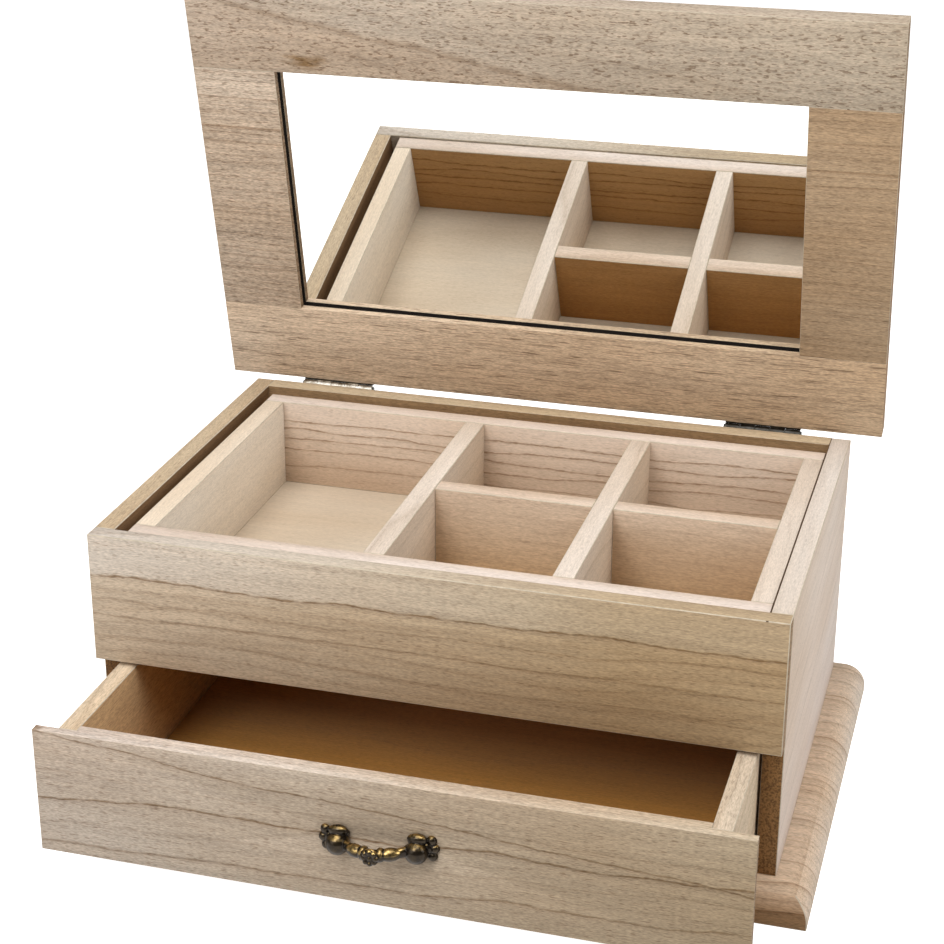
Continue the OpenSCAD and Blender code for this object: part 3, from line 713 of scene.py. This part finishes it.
class VANITY_OT_lid(bpy.types.Operator):
    """Lid: two rails, two stiles and the thin board behind the mirror"""
    bl_idname = "vanity.lid"
    bl_label = "Lid"

    def execute(self, context):
        edge = 0.5 * context.scene.vanity_wood.edge
        lean = -math.pi / 2 - math.radians(joint_place("lid_hinge")[1]["range_deg"][0])
        looks = {
            # Painted shade on the lid: the rails darker towards the right, away from the light on
            # the left, the right stile darker than the left one, and the front rail's faces turned
            # up a little darker
            "lid_front_rail": {"left": (0.83, 0.83, 0.87), "right": (0.80, 0.79, 0.78),
                               "pith": (0.0, 700.0), "rings": 0.08, "fibres": 1.3,
                               "pores": 0.85, "pore": 3.4, "pore_w": 0.95,
                               "faces": [((0, 0, 1), (0.88, 0.88, 0.9))],
                               "knot": (-104.0, 275.0, 12.0, 4.5), "below": (1.05, 1.0, 0.96),
                               "veins": [(274.7, -0.185, 2.0, 1.6, 0.5),
                                         (288.0, -0.12, 3.0, 1.0, 0.2),
                                         (262.0, -0.20, 3.0, 1.0, 0.2)]},
            "lid_back_rail": {"left": (0.98, 0.91, 0.87), "right": (0.88, 0.77, 0.66),
                              "pith": (0.0, -300.0), "spacing": 5.0, "rings": 0.15,
                              "fibres": 1.4, "pores": 1.0, "pore": 13.0, "pore_w": 0.42},
            "lid_left_stile": {"left": (0.89, 0.85, 0.85), "rings": 0.8, "spacing": 3.4,
                               "pith": (0.0, -400.0), "wave": 3.0, "pores": 0.8, "fibres": 1.7},
            "lid_right_stile": {"left": (0.72, 0.62, 0.51), "rings": 0.6, "spacing": 3.4,
                                "pith": (0.0, -400.0), "wave": 3.0, "pores": 0.6, "fibres": 1.3},
        }
        for node, along, seed in LID_BOARDS:
            material = wood(node, along, seed, **dict(looks[node], lean=lean))
            eased_board(node, "lid", material, edge)
        backing = wood("lid_backing", "X", 25, rings=0.2, pores=0.3, spacing=15.0, lean=lean)
        eased_board("lid_backing", "lid", backing, edge)
        return {"FINISHED"}


class VANITY_OT_mirror(bpy.types.Operator):
    """Mirror: silvered glass, with a black ring along the lip as painted shade for the dark line
    that its thickness shows there
    """
    bl_idname = "vanity.mirror"
    bl_label = "Mirror"

    def execute(self, context):
        chosen = context.scene.vanity_mirror
        turn = lid_turn()
        back = turn.inverted()
        corners = [back @ v.co for v in frame["nodes"]["mirror"].data.vertices]
        low = Vector([min(c[i] for c in corners) for i in range(3)])
        high = Vector([max(c[i] for c in corners) for i in range(3)])
        work = bmesh.new()
        bmesh.ops.create_cube(work, size=1.0)
        low_silver = low + Vector((0, 0, chosen.depth))
        size = high - low_silver
        bmesh.ops.scale(work, vec=size, verts=work.verts)
        bmesh.ops.translate(work, vec=(low_silver + high) / 2, verts=work.verts)
        bmesh.ops.bevel(work, geom=work.edges, offset=0.0003, offset_type="OFFSET", segments=1,
                        profile=0.5, affect="EDGES", material=-1)
        bmesh.ops.transform(work, matrix=turn, verts=work.verts)
        silver, tree, shader = new_material("silvered_glass")
        place = millimetres(tree)
        mottle = use_group(tree, "mottle", {
            "Vector": place, "Cloud Size": 60.0, "Scratch Size": 30.0})
        haze = calc(tree, "ADD", 0.004, calc(tree, "MULTIPLY", mottle["Cloud"], 0.012))
        tree.links.new(haze, shader.inputs["Roughness"])
        shader.inputs["Metallic"].default_value = 1.0
        tint = blend(tree, mottle["Scratch"], rgba(chosen.silver), rgba(chosen.silver, 0.985))
        tree.links.new(tint, shader.inputs["Base Color"])
        finish_piece("mirror_glass", work, "lid", [silver], ["mirror"])

        # Painted shade: a black ring between the lip and the silvering stands in for the dark edge
        # of the glass
        rim = bmesh.new()
        bmesh.ops.create_grid(rim, x_segments=1, y_segments=1, size=0.5)
        seen_w, seen_h = high.x - low.x - 2 * MIRROR_LIP, high.y - low.y - 2 * MIRROR_LIP
        bmesh.ops.scale(rim, vec=(seen_w, seen_h, 1), verts=rim.verts)
        middle = (low + high) / 2
        bmesh.ops.translate(rim, vec=(middle.x, middle.y, low.z + 0.0001), verts=rim.verts)
        window = list(rim.faces)
        made = bmesh.ops.extrude_edge_only(rim, edges=list(rim.edges))["geom"]
        lowered = [g for g in made if isinstance(g, bmesh.types.BMVert)]
        bmesh.ops.translate(rim, vec=(0, 0, chosen.depth), verts=lowered)
        bmesh.ops.delete(rim, geom=window, context="FACES_ONLY")
        bmesh.ops.recalc_face_normals(rim, faces=rim.faces)
        bmesh.ops.solidify(rim, geom=rim.faces, thickness=-0.0004)
        bmesh.ops.transform(rim, matrix=turn, verts=rim.verts)
        dark, tree, shader = new_material("glass_edge_painted_shade")
        place = millimetres(tree)
        mottle = use_group(tree, "mottle", {
            "Vector": place, "Cloud Size": 8.0, "Scratch Size": 8.0})
        black, brown = (0.004, 0.003, 0.0025, 1), (0.012, 0.009, 0.007, 1)
        tree.links.new(blend(tree, mottle["Cloud"], black, brown), shader.inputs["Base Color"])
        shader.inputs["Roughness"].default_value = 0.9
        shader.inputs["Specular IOR Level"].default_value = 0.05
        finish_piece("mirror_edge_painted_shade", rim, "lid", [dark])
        return {"FINISHED"}


class VANITY_OT_drawer(bpy.types.Operator):
    """Drawer: front with rebated ends, sides, back and thin bottom"""
    bl_idname = "vanity.drawer"
    bl_label = "Drawer"

    def execute(self, context):
        chosen = context.scene.vanity_wood
        looks = {
            # Painted light and shade on the drawer: its front darker towards the right, its top
            # much paler and its back face darker; the sides' inner faces darker and warmer, the
            # right side's top a little darker
            "drawer_front": {"left": (0.76, 0.76, 0.81), "right": (0.63, 0.59, 0.51),
                             "pith": (-150.0, 540.0), "spacing": 8.0, "rings": 0.12,
                             "fibres": 1.4, "pores": 0.7, "pore": 6.0,
                             "veins": [(58.0, -0.077, 1.5, 0.4, 0.85),
                                       (45.5, 0.024, 2.5, 0.55, 0.95),
                                       (24.5, 0.03, 2.0, 0.5, 0.7),
                                       (54.0, 0.01, 3.0, 0.45, 0.25),
                                       (35.0, 0.03, 3.0, 0.45, 0.25)],
                             "faces": [((0, 0, 1), (1.35, 1.42, 1.58)),
                                       ((0, 1, 0), (0.9, 0.7, 0.5))]},
            "drawer_left_side": {"left": (1.02, 0.99, 0.95),
                                 "faces": [((1, 0, 0), (0.90, 0.74, 0.54))]},
            "drawer_right_side": {"left": (1.0, 0.97, 0.92),
                                  "faces": [((-1, 0, 0), (0.9, 0.75, 0.55)),
                                            ((0, 0, 1), (0.9, 0.93, 1.0))]},
            "drawer_back": {"left": (0.9, 0.8, 0.65)},
        }
        for node, along, seed in DRAWER_BOARDS:
            material = wood(node, along, seed, **looks[node])
            eased_board(node, "drawer", material, chosen.edge)
        # Painted shade on the drawer's bottom: deeper in, under the upper front, it is tinted paler
        # and less orange, standing for the cooler shade there
        bottom = wood("drawer_bottom", "X", 26, rings=0.1, spacing=18.0, pores=0.3, fibres=0.7,
                      drift=("Y", -62.0, 0.0), left=(1.0, 0.95, 0.95), right=(1.2, 1.38, 2.7),
                      pale=tuple(chosen.thin_board),
                      warm=tuple(c * 0.85 for c in chosen.thin_board))
        eased_board("drawer_bottom", "drawer", bottom, 0.5 * chosen.edge)
        return {"FINISHED"}


class VANITY_OT_pull(bpy.types.Operator):
    """Cast pull: its forms blended as in a casting, dark with rubbed high places, and gold on faces
    turned up as painted highlight
    """
    bl_idname = "vanity.pull"
    bl_label = "Pull"

    def execute(self, context):
        chosen = context.scene.vanity_metal
        work = bmesh.new()
        work.from_mesh(frame["nodes"]["drawer_pull"].data)
        bmesh.ops.remove_doubles(work, verts=work.verts, dist=1e-6)
        # A fuller dome below each crescent lobe, and a disc behind the petals of the rosette
        low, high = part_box("drawer_pull")
        back, level = high[1], (low[2] + high[2]) / 2
        for x in (-PULL_SCREW_X, PULL_SCREW_X):
            add_ball(work, (x, back - 0.0034, level - 0.0008), (0.0047, 0.0042, 0.0046))
            add_ball(work, (x, back - 0.0016, level + 0.0042), (0.0040, 0.0022, 0.0022))
        add_ball(work, (0, low[1] + 0.0019, level), (0.0037, 0.0014, 0.0037))
        rough_mesh = bpy.data.meshes.new("pull_rough")
        work.to_mesh(rough_mesh)
        work.free()
        rough = bpy.data.objects.new("pull_rough", rough_mesh)
        context.scene.collection.objects.link(rough)
        remesh = rough.modifiers.new("blend", "REMESH")
        remesh.mode = "VOXEL"
        remesh.voxel_size = chosen.voxel
        soften = rough.modifiers.new("soften", "SMOOTH")
        soften.factor = 0.5
        soften.iterations = 4
        shape = rough.evaluated_get(context.evaluated_depsgraph_get())
        work = bmesh.new()
        work.from_mesh(shape.to_mesh())
        shape.to_mesh_clear()
        bpy.data.objects.remove(rough)
        bpy.data.meshes.remove(rough_mesh)

        # How far each point bulges, kept for the rubbed places
        bulge = work.verts.layers.float.new("bulge")
        work.normal_update()
        first = {}
        for v in work.verts:
            around = Vector()
            for e in v.link_edges:
                around += e.other_vert(v).co - v.co
            first[v] = -around.dot(v.normal) / (len(v.link_edges) * chosen.voxel)
        for _ in range(3):
            second = {}
            for v in work.verts:
                near = [first[e.other_vert(v)] for e in v.link_edges]
                second[v] = 0.4 * first[v] + 0.6 * sum(near) / len(near)
            first = second
        for v in work.verts:
            v[bulge] = 0.5 + 2.2 * first[v]

        # It is screwed on a little crooked, about its right screw
        bmesh.ops.rotate(work, cent=(PULL_SCREW_X, back, level), verts=work.verts,
                         matrix=Matrix.Rotation(-chosen.pull_tilt, 3, "Y"))

        bronze, tree, shader = new_material("dark_bronze")
        place = millimetres(tree)
        mottle = use_group(tree, "mottle", {
            "Vector": place, "Cloud Size": 2.5, "Scratch Size": 4.0})
        uneven = calc(tree, "SUBTRACT", mottle["Cloud"], 0.5)
        bulged = add_node(tree, "Attribute", attribute_name="bulge").outputs["Fac"]
        bulged = calc(tree, "ADD", bulged, calc(tree, "MULTIPLY", uneven, 0.6))
        rubbed_and_lit = ramp(tree, bulged, [(0.46, 0), (0.66, 1)])
        # Painted highlight: the rubbed gold shows only on faces turned up, as if lit from above,
        # and less on the rosette and the domes than on the bow
        up = add_node(tree, "SeparateXYZ", {
            0: add_node(tree, "TexCoord").outputs["Normal"]}).outputs["Z"]
        reach = calc(tree, "ABSOLUTE", add_node(tree, "SeparateXYZ", {0: place}).outputs["X"])
        shy = ramp(tree, calc(tree, "DIVIDE", reach, 20.0),
                   [(0.15, 0.8), (0.21, 0), (0.5, 0), (0.58, 1)])
        up = calc(tree, "SUBTRACT", up, calc(tree, "MULTIPLY", shy, 0.45))
        rubbed_and_lit = calc(tree, "MULTIPLY", rubbed_and_lit, ramp(tree, up, [(0.1, 0.03), (0.55, 1)]))
        colour = blend(tree, rubbed_and_lit, rgba(chosen.patina), rgba(chosen.rubbed))
        tree.links.new(colour, shader.inputs["Base Color"])
        rough = calc(tree, "SUBTRACT", 0.36, calc(tree, "MULTIPLY", rubbed_and_lit, 0.14))
        tree.links.new(rough, shader.inputs["Roughness"])
        shader.inputs["Metallic"].default_value = 1.0
        shader.inputs["Coat Weight"].default_value = 0.25
        shader.inputs["Coat Roughness"].default_value = 0.18
        bump = add_node(tree, "Bump", {
            "Height": mottle["Cloud"], "Strength": 0.3, "Distance": 0.0002})
        tree.links.new(bump.outputs["Normal"], shader.inputs["Normal"])
        finish_piece("cast_pull", work, "drawer", [bronze], ["drawer_pull"], 60)
        return {"FINISHED"}


class VANITY_OT_hinges(bpy.types.Operator):
    """Hinges and screws: plated steel with scratches and dull patches; the right hinge and the pins
    take a far darker copy of it as painted shade
    """
    bl_idname = "vanity.hinges"
    bl_label = "Hinges and screws"

    def execute(self, context):
        chosen = context.scene.vanity_metal
        left = [node for node in HINGE_NODES if "left" in node]
        right = [node for node in HINGE_NODES if "left" not in node]
        # Painted light and shade: a paler copy of the plated steel on the left hinge and a far
        # darker copy on the right hinge and the pins
        for name, gain, nodes in (("plated_steel", 1.4, left), ("plated_steel_painted_shade", 0.13, right),
                                  ("plain_screw", 0.5, SCREW_NODES)):
            steel, tree, shader = new_material(name)
            place = millimetres(tree)
            mottle = use_group(tree, "mottle", {
                "Vector": place, "Cloud Size": 2.5, "Scratch Size": 6.0})
            dull = ramp(tree, mottle["Cloud"], [(0.38, 0), (0.66, 1)])
            colour = blend(tree, dull, rgba(chosen.plated, gain), rgba(DULL_STEEL, 0.4 * gain))
            tree.links.new(colour, shader.inputs["Base Color"])
            rough = calc(tree, "ADD", 0.22, calc(tree, "MULTIPLY", mottle["Scratch"], 0.3))
            tree.links.new(rough, shader.inputs["Roughness"])
            shader.inputs["Metallic"].default_value = 1.0
            bump = add_node(tree, "Bump", {
                "Height": mottle["Scratch"], "Strength": 0.2, "Distance": 0.0001})
            tree.links.new(bump.outputs["Normal"], shader.inputs["Normal"])
            for node in nodes:
                set_material(node, steel)

        # The rolled root of each lid leaf, which closes the slit between the knuckles and the lid;
        # it takes the far darker steel, painted shade that shows as a dark line along the slit
        turn = lid_turn()
        pin = joint_place("lid_hinge")[0]
        thick, tall = 0.0002, 0.0019
        in_front, above = 0.00215, 0.00145
        for side in ("left", "right"):
            low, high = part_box("hinge_" + side + "_case_leaf")
            work = bmesh.new()
            bmesh.ops.create_cube(work, size=1.0)
            bmesh.ops.scale(work, vec=(high[0] - low[0], thick, tall), verts=work.verts)
            bmesh.ops.translate(work, verts=work.verts, vec=(
                (low[0] + high[0]) / 2, pin.y - in_front, pin.z + above))
            bmesh.ops.bevel(work, geom=work.edges, offset=0.00005, offset_type="OFFSET", segments=2,
                            profile=0.5, affect="EDGES", material=-1)
            bmesh.ops.transform(work, matrix=turn, verts=work.verts)
            finish_piece("hinge_" + side + "_root", work, "lid",
                         [bpy.data.materials["plated_steel_painted_shade"]])
        return {"FINISHED"}


class VANITY_OT_stage(bpy.types.Operator):
    """Stage: pale floor, soft lights and the camera"""
    bl_idname = "vanity.stage"
    bl_label = "Stage"

    def execute(self, context):
        scene = context.scene
        chosen = scene.vanity_stage
        work = bmesh.new()
        bmesh.ops.create_grid(work, x_segments=8, y_segments=8, size=chosen.floor_w / 2)
        bmesh.ops.translate(work, vec=(0, 0, -FLOOR_DROP), verts=work.verts)
        mesh = bpy.data.meshes.new("floor")
        work.to_mesh(mesh)
        work.free()
        floor = bpy.data.objects.new("floor", mesh)
        scene.collection.objects.link(floor)
        paper, tree, shader = new_material("white_paper")
        place = millimetres(tree)
        fleck = noise(tree, place, 0.5, 3.0)
        tree.links.new(blend(tree, fleck, (0.60, 0.60, 0.60, 1), (0.62, 0.62, 0.62, 1)),
                       shader.inputs["Base Color"])
        shader.inputs["Roughness"].default_value = 0.9
        shader.inputs["Emission Color"].default_value = (1, 1, 1, 1)
        rays = add_node(tree, "LightPath").outputs
        seen = calc(tree, "MAXIMUM", rays["Is Camera Ray"], rays["Is Glossy Ray"])
        glow = calc(tree, "ADD", 0.05, calc(tree, "MULTIPLY", seen, chosen.glow))
        tree.links.new(glow, shader.inputs["Emission Strength"])
        mesh.materials.append(paper)

        world = bpy.data.worlds.new("white_surroundings")
        world.use_nodes = True
        scene.world = world
        sky = world.node_tree.nodes["Background"]
        sky.inputs["Color"].default_value = (1, 1, 1, 1)
        sky.inputs["Strength"].default_value = chosen.fill
        for name, power, size, place in (
                ("top_light", chosen.top_light, 1.2, Vector((0.0, -0.45, 1.5))),
                ("right_light", chosen.right_light, 0.8, Vector((1.3, -0.1, 0.8))),
                ("left_light", chosen.left_light, 0.7, Vector((-0.75, -1.0, 0.55))),
                ("front_light", chosen.front_light, 0.5, Vector((-0.35, -1.1, 1.05)))):
            light = bpy.data.lights.new(name, "AREA")
            light.energy = power
            light.size = size
            lamp = bpy.data.objects.new(name, light)
            scene.collection.objects.link(lamp)
            aim = Vector((0, 0, 0.08)) - place
            turn = aim.to_track_quat("-Z", "Y").to_matrix().to_4x4()
            lamp.matrix_world = Matrix.Translation(place) @ turn

        camera = bpy.data.cameras.new("camera")
        camera.lens = chosen.lens
        camera.sensor_width = 36
        camera.clip_end = 100
        eye = bpy.data.objects.new("camera", camera)
        scene.collection.objects.link(eye)
        eye.matrix_world = (
            Matrix.Translation(chosen.camera_place) @ Matrix.Rotation(chosen.yaw, 4, "Z")
            @ Matrix.Rotation(chosen.pitch, 4, "X") @ Matrix.Rotation(chosen.roll, 4, "Y")
            @ Matrix.Rotation(math.pi / 2, 4, "X"))
        scene.camera = eye
        scene.view_settings.view_transform = "Standard"
        return {"FINISHED"}


OPERATORS = [
    VANITY_OT_case, VANITY_OT_tray, VANITY_OT_lid, VANITY_OT_mirror,
    VANITY_OT_drawer, VANITY_OT_pull, VANITY_OT_hinges, VANITY_OT_stage,
]


class VANITY_PT_box(bpy.types.Panel):
    """Lists the pieces of the vanity box and their settings"""
    bl_idname = "VANITY_PT_box"
    bl_label = "Vanity Box"
    bl_space_type = "VIEW_3D"
    bl_region_type = "UI"
    bl_category = "Vanity Box"

    def draw(self, context):
        layout = self.layout
        for title in ("vanity_wood", "vanity_metal", "vanity_mirror", "vanity_stage"):
            box = layout.box()
            settings = getattr(context.scene, title)
            for key in settings.__annotations__:
                box.prop(settings, key)
        for operator in OPERATORS:
            layout.operator(operator.bl_idname)


SETTINGS = {
    "vanity_wood": VanityWoodSettings, "vanity_metal": VanityMetalSettings,
    "vanity_mirror": VanityMirrorSettings, "vanity_stage": VanityStageSettings,
}


def register():
    for kind in list(SETTINGS.values()) + OPERATORS + [VANITY_PT_box]:
        bpy.utils.register_class(kind)
    for name, kind in SETTINGS.items():
        setattr(bpy.types.Scene, name, PointerProperty(type=kind))


def unregister():
    for name in SETTINGS:
        delattr(bpy.types.Scene, name)
    for kind in reversed(list(SETTINGS.values()) + OPERATORS + [VANITY_PT_box]):
        bpy.utils.unregister_class(kind)


def main():
    register()
    bpy.ops.vanity.case()
    bpy.ops.vanity.tray()
    bpy.ops.vanity.lid()
    bpy.ops.vanity.mirror()
    bpy.ops.vanity.drawer()
    bpy.ops.vanity.pull()
    bpy.ops.vanity.hinges()
    bpy.ops.vanity.stage()


if __name__ == "__main__":
    main()
